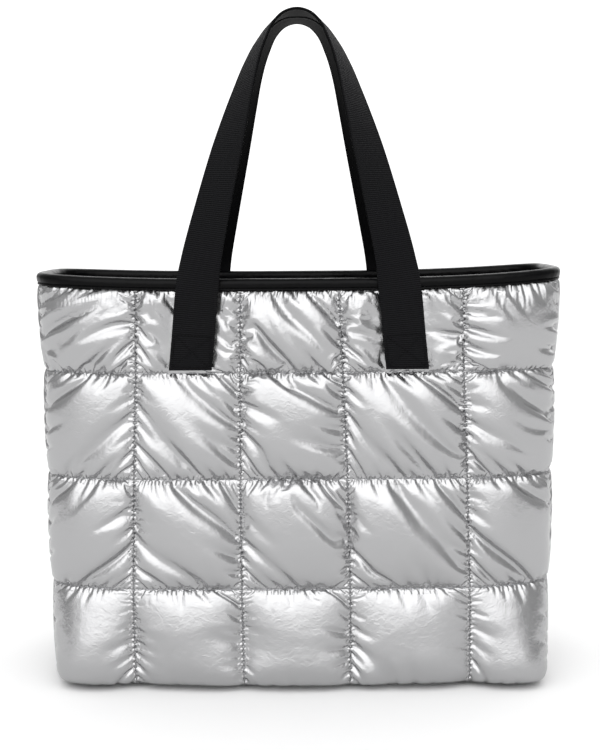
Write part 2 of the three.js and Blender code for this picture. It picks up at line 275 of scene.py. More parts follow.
def rim_lift(x):
    """How much higher the rim is at x than in its middle."""
    share = np.minimum(1, np.abs(x) / WALL_HALF_WIDTH)
    return np.where(x < 0, RIM_LIFT_LEFT, RIM_LIFT_RIGHT) * share ** 3


def wall_point(run, up, off):
    """The point that stands off outward from the wall's inner face."""
    run, up, off = np.broadcast_arrays(run, up, off)
    angle = np.where(up > CURL_LENGTH, 0, np.interp(up, CURL_UP, CURL_ANGLES))
    curl_z = CURL_BASE + CURL_HEIGHT * (1 - np.sin(angle))
    z = np.where(up > CURL_LENGTH, CURL_Z[-1] + up - CURL_LENGTH, curl_z)
    inset = CURL_INSET * (1 - np.cos(angle))
    out, down = np.cos(angle) / CURL_INSET, np.sin(angle) / CURL_HEIGHT
    length = np.hypot(out, down)
    out, down = out / length, down / length
    plan_x, plan_y = plan_point(run)
    upper = np.clip((z - FIRST_ROW_Z) / (WALL_TOP - FIRST_ROW_Z), 0, 1)
    wide = (WALL_HALF_WIDTH + RIM_FLARE * upper - inset) / WALL_HALF_WIDTH
    deep = (WALL_HALF_DEPTH - inset) / WALL_HALF_DEPTH
    x, y = plan_x * wide, plan_y * deep
    power = CORNER_POWER - 1
    slope_x = np.sign(x) * np.abs(plan_x / WALL_HALF_WIDTH) ** power / (WALL_HALF_WIDTH * wide)
    slope_y = np.sign(y) * np.abs(plan_y / WALL_HALF_DEPTH) ** power / (WALL_HALF_DEPTH * deep)
    length = np.hypot(slope_x, slope_y)
    return np.stack([
        x + slope_x / length * off * out,
        y + slope_y / length * off * out,
        z - off * down + rim_lift(x) * upper,
    ], -1)


def seam_run(seam, up):
    """Run of a stitched column at a length up the wall: a curve through its three shares."""
    t = np.clip(1 - (up - CURL_LENGTH + CURL_Z[-1]) / RIM_HEIGHT, 0, 1)
    top, middle, bottom = seam
    share = top * (1 - t) * (1 - 2 * t) + middle * 4 * t * (1 - t) + bottom * t * (2 * t - 1)
    return share * WALL_HALF_WIDTH


PANEL_HALF_RUN = SIDE_SEAM_RUN - SEAM_GAP / 2
GUSSET_HALF_RUN = QUARTER - SIDE_SEAM_RUN - SEAM_GAP / 2


# Meshes from arrays


def grid_faces(rows, lines, start=0, wrap=False):
    """Quads between neighbouring points of a grid."""
    index = start + np.arange(rows * lines).reshape(rows, lines)
    if wrap:
        index = np.concatenate([index, index[:, :1]], 1)
    corners = (index[:-1, :-1], index[:-1, 1:], index[1:, 1:], index[1:, :-1])
    return np.stack(corners, -1).reshape(-1, 4)


def end_faces(count, around):
    """The two faces that close a row of loops at its ends."""
    return [list(range(around))[::-1], list(range((count - 1) * around, count * around))]


def run_along(points):
    """Length along a line of points, up to each of them."""
    return np.concatenate([[0], np.cumsum(np.linalg.norm(np.diff(points, axis=0), axis=1))])


def vectors_at(at, run, vectors):
    """Vectors at places along a line, between the ones given at run."""
    return np.stack([np.interp(at, run, vectors[:, k]) for k in range(3)], -1)


def make_piece(name, points, faces, material, replaces=()):
    """A mesh object that rides on the bag, with the material that it is given."""
    mesh = bpy.data.meshes.new(name)
    mesh.from_pydata(np.asarray(points, float).reshape(-1, 3).tolist(), [], [list(f) for f in faces])
    mesh.validate()
    mesh.update()
    mesh.polygons.foreach_set("use_smooth", np.full(len(mesh.polygons), True))
    piece = bpy.data.objects.new(name, mesh)
    bpy.context.scene.collection.objects.link(piece)
    mesh.materials.append(material)
    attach(piece, BODY)
    if replaces:
        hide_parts(*replaces)
    return piece


def add_point_vectors(piece, name, values):
    """Stores a vector for each point, for the material to read."""
    layer = piece.data.attributes.new(name, "FLOAT_VECTOR", "POINT")
    layer.data.foreach_set("vector", np.asarray(values, np.float32).ravel())


def closed_slab(outer, inner_rows, inner_of):
    """A closed piece: a fine outer grid, and inner faces that span whole rows between its edges.

    inner_rows are the outer grid's rows where the inner face has a row of points, and
    inner_of(row) gives the inner points there, one for each line of the outer grid.
    """
    rows, lines = outer.shape[:2]
    inner = np.stack([inner_of(row) for row in inner_rows])
    points = np.concatenate([outer.reshape(-1, 3), inner.reshape(-1, 3)])
    faces = grid_faces(rows, lines).tolist()
    first = rows * lines
    count = len(inner_rows)
    into = first + np.arange(count * lines).reshape(count, lines)
    out = np.arange(rows * lines).reshape(rows, lines)
    faces += grid_faces(count, lines, first)[:, ::-1].tolist()
    for line in range(lines - 1):
        faces.append([into[0, line], into[0, line + 1], out[0, line + 1], out[0, line]])
        faces.append([out[-1, line], out[-1, line + 1], into[-1, line + 1], into[-1, line]])
    for band in range(count - 1):
        low, high = inner_rows[band], inner_rows[band + 1]
        left = out[low:high + 1, 0].tolist()
        right = out[low:high + 1, -1].tolist()
        faces.append(left + [into[band + 1, 0], into[band, 0]])
        faces.append(right[::-1] + [into[band, -1], into[band + 1, -1]])
    return points, faces


# The cloth: a grid of springs, pushed outward by the padding and held at the stitched lines

CLOTH_LEVELS = (
    # lines in a cell as a multiple of the coarsest, steps, and stiffness against bending
    (2, 250, 0.10),
    (4, 120, 0.07),
    (8, 60, 0.035),
)
SHEAR_STIFFNESS = 0.5
PADDING_PUSH = 4e-6
PADDING_OVER_CROWN = 1.15
PADDING_AT_SEAMS = 0.6 * MM
FOLD_WAVE = 24 * MM
SLACK_BESIDE_COLUMNS = 13 * MM
SLACK_BESIDE_ROWS = 9 * MM


def graded(low, high, count, edge=0.45):
    """Lines from low to high, closer together at both ends."""
    u = np.linspace(0, 1, count + 1)
    return low + (high - low) * (u - edge * np.sin(2 * pi * u) / (2 * pi))


def grid_lines(edges, counts):
    """Mesh lines through the cells between edges, and which of them are the edges."""
    lines, at = [edges[0]], [0]
    for low, high, count in zip(edges, edges[1:], counts):
        lines.extend(graded(low, high, count)[1:])
        at.append(len(lines) - 1)
    return np.array(lines), np.array(at)


def cell_share(edges, values):
    """The cell that each value is in, and how far across it."""
    edges = np.asarray(edges)
    cell = np.clip(np.searchsorted(edges, values, side="right") - 1, 0, len(edges) - 2)
    return cell, (values - edges[cell]) / (edges[cell + 1] - edges[cell])


def ripples(rng, x, z, size, count=30):
    """A smooth random field of about that wavelength."""
    field = np.zeros_like(x)
    for _ in range(count):
        kx, kz = rng.normal(0, 1 / size), rng.normal(0, 1 / size)
        field += np.cos(kx * x + kz * z + rng.uniform(0, 2 * pi))
    return field / np.sqrt(count / 2)


def refine(points):
    """The same cloth with a new line halfway between each two."""
    rows, lines, _ = points.shape
    wide = np.empty((rows, 2 * lines - 1, 3), points.dtype)
    wide[:, ::2] = points
    wide[:, 1::2] = (points[:, 1:] + points[:, :-1]) / 2
    fine = np.empty((2 * rows - 1, 2 * lines - 1, 3), points.dtype)
    fine[::2] = wide
    fine[1::2] = (wide[1:] + wide[:-1]) / 2
    return fine


def spring_sets(rows, lines, bend):
    """Pairs of points that springs join, in sets that share no point, with each set's stiffness."""
    cut = np.s_
    shear = SHEAR_STIFFNESS
    sets = []
    for odd in (0, 1):
        sets.append((cut[:, odd:lines - 1:2], cut[:, odd + 1:lines:2], 1.0))
        sets.append((cut[odd:rows - 1:2, :], cut[odd + 1:rows:2, :], 1.0))
        sets.append((cut[odd:rows - 1:2, 0:lines - 1], cut[odd + 1:rows:2, 1:lines], shear))
        sets.append((cut[odd:rows - 1:2, 1:lines], cut[odd + 1:rows:2, 0:lines - 1], shear))
    for start in range(4):
        across = np.arange(start, lines - 2, 4)
        sets.append((cut[:, across], cut[:, across + 2], bend))
        upward = np.arange(start, rows - 2, 4)
        sets.append((cut[upward, :], cut[upward + 2, :], bend))
    return sets


def relax(points, flat, slack, held, cap, push, steps, bend, passes=3, drag=0.9):
    """Lets the cloth find its shape: y is negative outward, and cap is the padding's limit.

    flat is the cloth's place in the flat, and slack says for each point how much longer it is
    than that: across, up, slanted by height and slanted by place across.
    """
    rows, lines, _ = points.shape
    free = (~held).astype(np.float32)
    springs = []
    for a, b, stiff in spring_sets(rows, lines, bend):
        across, upward = (flat[b] - flat[a])[..., 0], (flat[b] - flat[a])[..., 1]
        loose = (slack[a] + slack[b]) / 2
        long_across = across * (1 + loose[..., 0]) + upward * loose[..., 2]
        long_upward = upward * (1 + loose[..., 1]) + across * loose[..., 3]
        length = np.hypot(long_across, long_upward).astype(np.float32)
        weight = free[a] + free[b]
        weight[weight == 0] = 1
        springs.append((a, b, np.float32(stiff), length,
                        (free[a] / weight)[..., None], (free[b] / weight)[..., None]))
    before = points.copy()
    for _ in range(steps):
        across, upward = np.zeros_like(points), np.zeros_like(points)
        across[:, 1:-1] = points[:, 2:] - points[:, :-2]
        upward[1:-1] = points[2:] - points[:-2]
        out = np.cross(across, upward)
        out /= np.maximum(np.sqrt((out * out).sum(-1, keepdims=True)), 1e-12)
        speed = (points - before) * np.float32(drag)
        before = points.copy()
        points = points + (speed + push[..., None] * out) * free[..., None]
        for _ in range(passes):
            for a, b, stiff, length, part_a, part_b in springs:
                here, there = points[a], points[b]
                gap = there - here
                now = np.sqrt((gap * gap).sum(-1))
                gap *= (stiff * (now - length) / np.maximum(now, np.float32(1e-9)))[..., None]
                points[a] = here + gap * part_a
                points[b] = there - gap * part_b
        depth = points[..., 1]
        over = -depth - cap
        depth += np.where((over > 0) & ~held, over * np.float32(0.5), 0)
        np.minimum(depth, np.float32(-0.1 * MM), out=depth, where=~held)
    return points


def uneven_slack(cells, columns, x, z, seed):
    """How much longer the cloth is than its flat place: most beside the stitched lines.

    The last axis is across, up, slanted by height and slanted by place across.
    """
    rng = np.random.default_rng(seed + 100)
    column, across = cell_share(columns, x)
    row, upward = cell_share(ROW_EDGES, z)
    wide = np.diff(columns)[column] * np.minimum(across, 1 - across)
    tall = np.diff(ROW_EDGES)[row] * np.minimum(upward, 1 - upward)
    beside = np.exp(-wide / SLACK_BESIDE_COLUMNS)
    beside *= np.where(np.abs(x) > np.abs(columns).max() - 30 * MM, 1.4, 1.0)
    above = np.exp(-tall / SLACK_BESIDE_ROWS)
    uneven = [np.clip(1 + 0.4 * ripples(rng, x, z, FOLD_WAVE), 0, None) for _ in range(3)]
    middle, seam, slant = (cells[name][row, column] for name in ("middle", "seam", "slant"))
    return np.stack([
        (middle + 0.8 * seam * above) * uneven[0],
        (middle + seam * beside) * uneven[1],
        0.35 * slant * uneven[2],
        slant * uneven[2],
    ], -1)


def quilted_cloth(columns, column_counts, row_counts, crown, cells, limit, seed):
    """A quilted panel's outer cloth in the flat: x along the wall, z up it, -y outward.

    cells holds tables by row and column: how full each cell is, how hard it is pushed and its
    slack. Returns the points, and the lines across and up that they began on.
    """
    rng = np.random.default_rng(seed)
    levels = CLOTH_LEVELS
    points = None
    for fineness, steps, bend in levels:
        xs, stitched_x = grid_lines(columns, [n * fineness for n in column_counts])
        zs, stitched_z = grid_lines(ROW_EDGES, [n * fineness for n in row_counts])
        x, z = np.meshgrid(xs, zs)
        held = np.zeros(x.shape, bool)
        held[:, stitched_x] = True
        held[stitched_z, :] = True
        column, across = cell_share(columns, x)
        row, upward = cell_share(ROW_EDGES, z)
        # The lowest cells are fullest low down and keep that fullness out to their seams
        raised = np.where(row == 0, upward ** 0.62, upward)
        pillow = np.clip(16 * across * (1 - across) * raised * (1 - raised), 0, None)
        full = cells["fullness"][row, column]
        rounded = pillow ** np.where(row == 0, 0.6, 0.4)
        cap = PADDING_OVER_CROWN * crown * full * rounded + PADDING_AT_SEAMS
        cap = np.minimum(cap, limit(x, z)).astype(np.float32)
        push = (PADDING_PUSH * cells["push"][row, column]).astype(np.float32)
        slack = uneven_slack(cells, columns, x, z, seed)
        # Cloth that a strap presses flat has less to spare
        slack *= np.clip(0.3 + (limit(x, z) - PRESSED) / (8 * MM), 0.3, 1)[..., None]
        flat = np.stack([x, z], -1)
        held_at = np.stack([x, np.zeros_like(x), z], -1).astype(np.float32)
        if points is None:
            points = held_at.copy()
            points[..., 1] = -0.7 * crown * full * np.sqrt(pillow)
        else:
            points = refine(points)
            points[held] = held_at[held]
        # Ripples that start as long ones along the way the folds will slant
        lean = np.sign(cells["slant"][row, column])
        over, along = (x + lean * z) / np.sqrt(2), (x - lean * z) / np.sqrt(2)
        ripple = ripples(rng, over, along / 4, FOLD_WAVE / fineness)
        ripple = cells["ripple"][row, column] * np.abs(ripple)
        points[..., 1] -= (ripple * ~held).astype(np.float32)
        points = relax(points, flat, slack, held, cap, push, steps, bend)
    return points.astype(float), xs, zs


def sample_grid(values, row, line):
    """Values of a grid between its points, by straight lines."""
    rows, lines = values.shape[:2]
    r = np.clip(np.floor(row).astype(int), 0, rows - 2)
    c = np.clip(np.floor(line).astype(int), 0, lines - 2)
    dr, dc = (row - r)[..., None], (line - c)[..., None]
    low = values[r, c] * (1 - dc) + values[r, c + 1] * dc
    high = values[r + 1, c] * (1 - dc) + values[r + 1, c + 1] * dc
    return low * (1 - dr) + high * dr


def grid_normals(points):
    """Outward unit normals of a wrapped cloth grid."""
    across = np.gradient(points, axis=1)
    upward = np.gradient(points, axis=0)
    out = np.cross(across, upward)
    return out / np.maximum(np.linalg.norm(out, axis=-1, keepdims=True), 1e-12)


# Gathers: the small puckers that each stitched line pulls into the cloth beside it


def gathered_strip(cloth, normals, xs, zs, level, at, crossed, sizes, coarse, seed, top=False):
    """A fine strip of the same cloth over a stitched line, with puckers on both sides of it.

    level says that the line runs across the bag; at is its place on the other axis, and crossed
    are the places along it where other strips lie over it. sizes are the puckers' reach, pitch
    and height. coarse spreads the strip's points, and top says that it is the upper edge.
    """
    reach, pitch, height = sizes
    rng = np.random.default_rng(seed)
    run, side = (xs, zs) if level else (zs, xs)
    s = np.arange(run[0] + 0.5 * MM, run[-1] - 0.5 * MM, 0.7 * MM * coarse)
    half = reach * np.linspace(0, 1, 10)[1:] ** 1.5
    d = np.concatenate([-half[::-1], [0], [] if top else half])
    along, away = np.meshgrid(s, d) if level else np.meshgrid(s, d, indexing="ij")
    line_run = np.interp(along, run, np.arange(len(run)))
    line_side = np.interp(at + away, side, np.arange(len(side)))
    row, line = (line_side, line_run) if level else (line_run, line_side)
    base = sample_grid(cloth, row, line)
    normal = sample_grid(normals, row, line)
    far = np.abs(away)
    other = away > 0
    wobble = 0.7 * ripples(rng, along, 0 * along, 18 * MM)
    turn = 2 * pi * along / pitch + wobble
    longer = 0.5 + 0.5 * np.tanh(1.2 * ripples(rng, along, 9 * MM * other, 6 * MM))
    if level:
        # A thin sunk line with slanted ticks on both sides, or creases that fan down from the rim
        lean = 3.0 * ripples(rng, along, 0 * along, 30 * MM) if top else 5.0
        ridge = np.clip(np.cos(turn - lean * far / pitch + 2.0 * other), 0, None) ** 1.5
        fading = np.exp(-far / (reach * (0.15 + 0.4 * longer)))
        lift = height * ridge * np.clip(far / (1.2 * MM), 0, 1) * fading
    else:
        # Bead-like tucks across the seam, and folds that run out and down from them
        bead = (0.5 + 0.5 * np.cos(turn)) * np.exp(-((far - 1.5 * MM) / (1.1 * MM)) ** 2)
        ridge = np.clip(np.cos(turn + 5.0 * far / pitch + 0.5 * other), 0, None) ** 1.5
        fading = np.exp(-far / (reach * (0.2 + 0.4 * longer)))
        fold = ridge * fading * np.clip((far - 1.5 * MM) / (1.5 * MM), 0, 1)
        lift = height * (bead + 0.8 * fold)
    edge = np.clip((reach - far) / (0.35 * reach), 0, 1)
    for place in crossed:
        edge = np.minimum(edge, np.clip((np.abs(along - place) - 2.5 * MM) / (2 * MM), 0, 1))
    if level:
        edge = edge * np.clip((under_strap(along, at + away) - PRESSED) / (2 * MM), 0, 1)
    # The strip lies a hair above the cloth, and sinks into it at its own edges
    lift = (lift + 0.12 * MM) * edge - 0.25 * MM * (1 - edge)
    return base + normal * lift[..., None]


def stitch_run(points, normals, length, gap, radius):
    """Thread along a line of points: short rounded stitches lying on the cloth."""
    run = run_along(points)
    starts = np.arange(gap, run[-1] - length, length + gap)
    rings, sides = 5, 5
    share = np.linspace(0, 1, rings)
    at = starts[:, None] + share * length
    middle = vectors_at(at, run, points)
    normal = vectors_at(at, run, normals)
    normal /= np.linalg.norm(normal, axis=-1, keepdims=True)
    along = middle[:, -1:] - middle[:, :1]
    along = along / np.linalg.norm(along, axis=-1, keepdims=True)
    across = np.cross(np.broadcast_to(along, normal.shape), normal)
    bulge = np.sqrt(np.clip(1 - (2 * share - 1) ** 4, 0.06, 1))
    middle = middle + normal * (radius * (1.3 * bulge - 0.9))[None, :, None]
    turn = np.linspace(0, 2 * pi, sides, endpoint=False)
    ring = np.cos(turn)[:, None] * across[..., None, :] + np.sin(turn)[:, None] * normal[..., None, :]
    verts = middle[..., None, :] + ring * (radius * bulge)[None, :, None, None]
    one = grid_faces(rings, sides, wrap=True).tolist()
    one += end_faces(rings, sides)
    faces = []
    for k in range(len(starts)):
        faces += [[i + k * rings * sides for i in face] for face in one]
    return verts.reshape(-1, 3), faces


def join_parts(parts):
    """Points and faces of several meshes as one, kept above the floor."""
    points, faces, start = [], [], 0
    for part_points, part_faces in parts:
        part_points = np.array(part_points).reshape(-1, 3)
        part_points[:, 2] = np.maximum(part_points[:, 2], LOWEST_THREAD)
        points.append(part_points)
        faces += [[i + start for i in face] for face in part_faces]
        start += len(part_points)
    return np.concatenate(points), faces


# Materials


SILVER_NAME = "nylon_with_heat_pressed_silver_film"
BLACK_THREAD_NAME = "polyester_thread_twisted_black"
RIB_SPACING = 1.8 * MM


def add_node(tree, kind, values=(), links=(), **settings):
    """Adds a node with its settings, its sockets' values and the outputs that feed its sockets."""
    node = tree.nodes.new(kind)
    for name, value in settings.items():
        setattr(node, name, value)
    for socket, value in dict(values).items():
        node.inputs[socket].default_value = value
    for socket, source in dict(links).items():
        tree.links.new(source, node.inputs[socket])
    return node


def new_material(name, colour, metallic, roughness, specular=0.5):
    """A material with its shader's own constants set. The colour is linear."""
    material = bpy.data.materials.new(name)
    material.use_nodes = True
    shader = material.node_tree.nodes["Principled BSDF"]
    shader.inputs["Base Color"].default_value = (*colour, 1)
    shader.inputs["Metallic"].default_value = metallic
    shader.inputs["Roughness"].default_value = roughness
    shader.inputs["Specular IOR Level"].default_value = specular
    return material, material.node_tree, shader


def silver_coated_nylon(colours):
    """Nylon with a thin silver film: soft mirror-like folds with a fine dry crinkle between them."""
    material, tree, shader = new_material(SILVER_NAME, colours.film, 0.93, 0.26)
    place = add_node(tree, "ShaderNodeTexCoord")
    # Crinkles about 4 mm across, a little coarser than the film's real ones
    crinkle = add_node(
        tree, "ShaderNodeTexNoise", {"Scale": 240.0, "Detail": 4.0, "Distortion": 0.8},
        {"Vector": place.outputs["Object"]},
    )
    bump = add_node(
        tree, "ShaderNodeBump", {"Strength": 0.5, "Distance": 0.0005}, {"Height": crinkle.outputs["Fac"]},
    )
    # Soft uneven patches about 14 mm across, where the padding under the film is lumpy
    lumps = add_node(
        tree, "ShaderNodeTexNoise", {"Scale": 70.0, "Detail": 1.0, "Distortion": 0.3},
        {"Vector": place.outputs["Object"]},
    )
    bump = add_node(
        tree, "ShaderNodeBump", {"Strength": 0.5, "Distance": 0.0007},
        {"Height": lumps.outputs["Fac"], "Normal": bump.outputs["Normal"]},
    )
    tree.links.new(bump.outputs["Normal"], shader.inputs["Normal"])
    return material


def black_webbing(colours):
    """Woven nylon webbing: matt black with fine ribs across it.

    The ribs are drawn 1.8 mm apart, about twice as coarse as real ones, so that they show. Painted shade
    darkens the hollows between the ribs and the strap's back.
    """
    material, tree, shader = new_material(
        "nylon_webbing_woven_with_cross_ribs", colours.webbing, 0.0, 0.7, 0.07,
    )
    place = add_node(tree, "ShaderNodeAttribute", attribute_name="strap_place")
    parts = add_node(tree, "ShaderNodeSeparateXYZ", links={"Vector": place.outputs["Vector"]})
    turn = add_node(
        tree, "ShaderNodeMath", {1: 2 * pi / RIB_SPACING}, {0: parts.outputs["Y"]}, operation="MULTIPLY",
    )
    rib = add_node(tree, "ShaderNodeMath", links={0: turn.outputs[0]}, operation="SINE")
    # Painted shade: the hollows between the ribs get the darker colour
    crest = add_node(tree, "ShaderNodeMapRange", {"From Min": -1.0}, {"Value": rib.outputs[0]})
    ribs_with_painted_shade = add_node(
        tree, "ShaderNodeMix", {"A": (*colours.webbing_hollows_painted_shade, 1), "B": (*colours.webbing, 1)},
        {"Factor": crest.outputs["Result"]}, data_type="RGBA",
    )
    # The back of the webbing is flatter than its face, and painted shade makes it darker
    shaded_back = add_node(
        tree, "ShaderNodeMix", {"A": (*colours.webbing_back_painted_shade, 1)},
        {"Factor": parts.outputs["Z"], "B": ribs_with_painted_shade.outputs["Result"]}, data_type="RGBA",
    )
    tree.links.new(shaded_back.outputs["Result"], shader.inputs["Base Color"])
    raised = add_node(
        tree, "ShaderNodeMath", links={0: rib.outputs[0], 1: parts.outputs["Z"]}, operation="MULTIPLY",
    )
    bump = add_node(
        tree, "ShaderNodeBump", {"Strength": 0.7, "Distance": 0.00035}, {"Height": raised.outputs[0]},
    )
    tree.links.new(bump.outputs["Normal"], shader.inputs["Normal"])
    return material


def black_trim(colours):
    """Smooth folded tape round the rim: black with a soft sheen on its rolled edge."""
    material, tree, shader = new_material(
        "polyester_tape_folded_and_topstitched", colours.tape, 0.0, 0.3, 0.09,
    )
    place = add_node(tree, "ShaderNodeTexCoord")
    # Weave about 1 mm across, coarser than the tape's real threads, so that it shows
    weave = add_node(
        tree, "ShaderNodeTexNoise", {"Scale": 900.0, "Detail": 1.0}, {"Vector": place.outputs["Object"]},
    )
    bump = add_node(
        tree, "ShaderNodeBump", {"Strength": 0.2, "Distance": 0.0002}, {"Height": weave.outputs["Fac"]},
    )
    # Small puckers about 8 mm apart along the tape
    puckers = add_node(
        tree, "ShaderNodeTexNoise", {"Scale": 120.0, "Detail": 2.0}, {"Vector": place.outputs["Object"]},
    )
    bump = add_node(
        tree, "ShaderNodeBump", {"Strength": 0.6, "Distance": 0.0012},
        {"Height": puckers.outputs["Fac"], "Normal": bump.outputs["Normal"]},
    )
    tree.links.new(bump.outputs["Normal"], shader.inputs["Normal"])
    return material


def black_lining_cloth(colours):
    """Thin plain-woven lining: near black, with a faint sheen on its gathers."""
    material, tree, shader = new_material("polyester_lining_plain_woven", colours.lining, 0.0, 0.5, 0.2)
    place = add_node(tree, "ShaderNodeTexCoord")
    # Weave a little under 1 mm across, coarser than the real threads, so that it shows
    weave = add_node(
        tree, "ShaderNodeTexNoise", {"Scale": 1200.0, "Detail": 1.0}, {"Vector": place.outputs["Object"]},
    )
    bump = add_node(
        tree, "ShaderNodeBump", {"Strength": 0.15, "Distance": 0.0002}, {"Height": weave.outputs["Fac"]},
    )
    tree.links.new(bump.outputs["Normal"], shader.inputs["Normal"])
    return material


def thread(name, colour):
    """Twisted polyester thread: slightly glossy short stitches."""
    return new_material(name, colour, 0.0, 0.45, 0.1)[0]


# The quilted panels

MIDDLE_UP = up_of_height(RIM_HEIGHT / 2)
PANEL_COLUMNS = np.array(
    [-PANEL_HALF_RUN] + [float(seam_run(s, MIDDLE_UP)) for s in COLUMN_SEAMS] + [PANEL_HALF_RUN]
)
PANEL_COUNTS = (9, 8, 8, 9, 9)
ROW_COUNTS = (9, 8, 8, 7)
STRAP_BACK = STRAP_SEAT + STRAP_THICKNESS / 2 - STRAP_FOLD_THICKNESS
PRESSED = STRAP_BACK - 0.7 * MM - WALL_HALF_DEPTH - SEAM_THICKNESS
UNPRESSED = 1.0

clothes = {}


def fanned(x, up):
    """The run on the wall of a flat place: the stitched columns fan out and curve."""
    x, up = np.broadcast_arrays(x, up)
    edges = np.stack([np.full(up.shape, -PANEL_HALF_RUN)]
                     + [seam_run(s, up) for s in COLUMN_SEAMS]
                     + [np.full(up.shape, PANEL_HALF_RUN)])
    column, share = cell_share(PANEL_COLUMNS, x)
    low = np.take_along_axis(edges, column[None], 0)[0]
    high = np.take_along_axis(edges, column[None] + 1, 0)[0]
    return low + (high - low) * share


def under_strap(x, up):
    """How far the padding may stand out: hardly at all under the sewn-on strap ends."""
    run = np.abs(fanned(x, up))
    rise = (up - up_of_height(RIM_HEIGHT)) / STRAP_RISE
    sewn = STRAP_PATH[:3]
    middle = np.interp(rise, [row[0] for row in sewn], [row[1] for row in sewn])
    beyond = np.abs(run - middle * STRAP_HALF_SPREAD) - STRAP_WIDTH / 2 - PRESS_MARGIN
    pressed = PRESSED + PRESS_SLOPE * np.clip(beyond, 0, None)
    return np.where(up > ROW_EDGES[3], pressed, UNPRESSED)


def no_strap(x, up):
    """The same for the narrow side panels, which no strap presses."""
    return np.full_like(x, UNPRESSED)


def cell_table(rows, columns=5):
    """A table by row and column from one value for each row."""
    return np.repeat(np.array(rows, float)[:, None], columns, 1)


def panel_cells(flip, settings):
    """Each cell's fullness, push, ripple and spare cloth. flip mirrors the folds' slant."""
    slant = CELL_SLANT * settings.slant
    return {
        "fullness": CELL_FULLNESS[:, ::-1] if flip else CELL_FULLNESS,
        "push": cell_table(ROW_PUSH),
        "ripple": cell_table(ROW_RIPPLE),
        "middle": cell_table(ROW_SPARE) * settings.spare,
        "seam": cell_table(ROW_SPARE_AT_SEAMS) * settings.spare,
        "slant": -slant[:, ::-1] if flip else slant,
    }


def gusset_cells(settings):
    """The same for the narrow side panels, one column wide."""
    return {
        "fullness": cell_table([1.0, 1.0, 0.95, 0.85], 1),
        "push": cell_table([1.3, 1.0, 1.0, 0.8], 1),
        "ripple": cell_table([0.2 * MM, 0.25 * MM, 0.3 * MM, 0.35 * MM], 1),
        "middle": cell_table([0.035, 0.035, 0.04, 0.045], 1) * settings.spare,
        "seam": cell_table([0.06, 0.06, 0.06, 0.06], 1) * settings.spare,
        "slant": cell_table([0.03, -0.03, 0.03, 0.04], 1) * settings.slant,
    }


def inner_rows_of(zs):
    """The cloth's rows at the stitched lines and the curl, where the inner face has its points."""
    wanted = [0, CURL_LENGTH * 0.5, CURL_LENGTH, *ROW_EDGES[1:]]
    return sorted({int(np.argmin(np.abs(zs - up))) for up in wanted})


def foot_filled(run, up):
    """How much further the padding stands out low down, where it bulges over the base."""
    inward = np.clip(1.35 - np.abs(plan_point(run)[0]) / (170 * MM), 0, 1)
    return FOOT_BULGE * np.exp(-((up - FOOT_BULGE_UP) / FOOT_BULGE_SPREAD) ** 2) * inward


def foot_squared(points):
    """Squares the corners near the foot, and tucks in and lifts what is lowest."""
    x, z = points[..., 0], points[..., 2]
    low = np.clip(1 - z / FOOT_SQUARE_HEIGHT, 0, 1) ** 1.3
    corner = np.clip((np.abs(x) - CORNER_START) / CORNER_SPAN, 0, 1) ** 1.3
    tucked = TUCK_DEPTH * np.clip(1 - z / TUCK_HEIGHT, 0, 1) ** 2
    lifted = EDGE_LIFT * np.clip(1 - z / EDGE_LIFT_HEIGHT, 0, 1) ** 2
    forward = CORNER_FORWARD + CORNER_FORWARD_RIGHT * np.sign(x)
    points[..., 0] *= 1 - FOOT_TAPER * low - tucked / WALL_HALF_WIDTH
    points[..., 1] *= (1 + forward * low * corner) * (1 - tucked / WALL_HALF_DEPTH)
    points[..., 2] = np.maximum(z + lifted, LOWEST_CLOTH)
    return points


def wrap_panel(name, flat, xs, zs, middle_run, fan, material):
    """Wraps a flat cloth on the wall and closes it with an inner face."""
    run = fanned(flat[..., 0], flat[..., 2]) if fan else flat[..., 0]
    padding = SEAM_THICKNESS - flat[..., 1] + foot_filled(middle_run + run, flat[..., 2])
    world = foot_squared(wall_point(middle_run + run, flat[..., 2], padding))
    line_runs = fanned(xs[None, :], zs[:, None]) if fan else np.broadcast_to(xs, (len(zs), len(xs)))
    points, faces = closed_slab(
        world, inner_rows_of(zs),
        lambda row: foot_squared(wall_point(middle_run + line_runs[row], zs[row], SEAM_GAP)),
    )
    piece = make_piece(name + "_quilt", points, faces, material, [name])
    clothes[name] = (world, xs, zs)
    return piece


class ToteQuiltSettings(bpy.types.PropertyGroup):
    """How full the quilted panels are and how their cloth folds"""

    crown: a_length("Crown height", "How far the padding may stand above the seams", 0.011)
    gusset_crown: a_length("Side crown height", "The same for the narrow side panels", 0.005)
    spare: bpy.props.FloatProperty(
        name="Spare cloth", description="Share of the usual spare cloth in each cell", default=1.0,
        subtype="FACTOR",
    )
    slant: bpy.props.FloatProperty(
        name="Slant of folds", description="How strongly the folds run at a slant", default=1.0,
    )
    seed: bpy.props.IntProperty(name="Seed", description="Seed of the cloth's first ripples", default=5)


class TOTE_OT_add_quilted_panels(bpy.types.Operator):
    """Adds the front, the back and the two narrow side panels, relaxed as padded cloth"""

    bl_idname = "tote.add_quilted_panels"
    bl_label = "Add quilted panels"

    def execute(self, context):
        settings = context.scene.tote_quilt
        silver = silver_coated_nylon(context.scene.tote_colours)
        for name, middle, flip in (("front_panel", 0, False), ("back_panel", 2 * QUARTER, True)):
            flat, xs, zs = quilted_cloth(
                PANEL_COLUMNS, PANEL_COUNTS, ROW_COUNTS, settings.crown,
                panel_cells(flip, settings), under_strap, settings.seed + flip,
            )
            wrap_panel(name, flat, xs, zs, middle, True, silver)
        sides = np.array([-GUSSET_HALF_RUN, GUSSET_HALF_RUN])
        for name, middle, more in (("right_gusset", QUARTER, 7), ("left_gusset", 3 * QUARTER, 8)):
            flat, xs, zs = quilted_cloth(
                sides, (7,), ROW_COUNTS, settings.gusset_crown,
                gusset_cells(settings), no_strap, settings.seed + more,
            )
            wrap_panel(name, flat, xs, zs, middle, False, silver)
        return {"FINISHED"}


# Seams

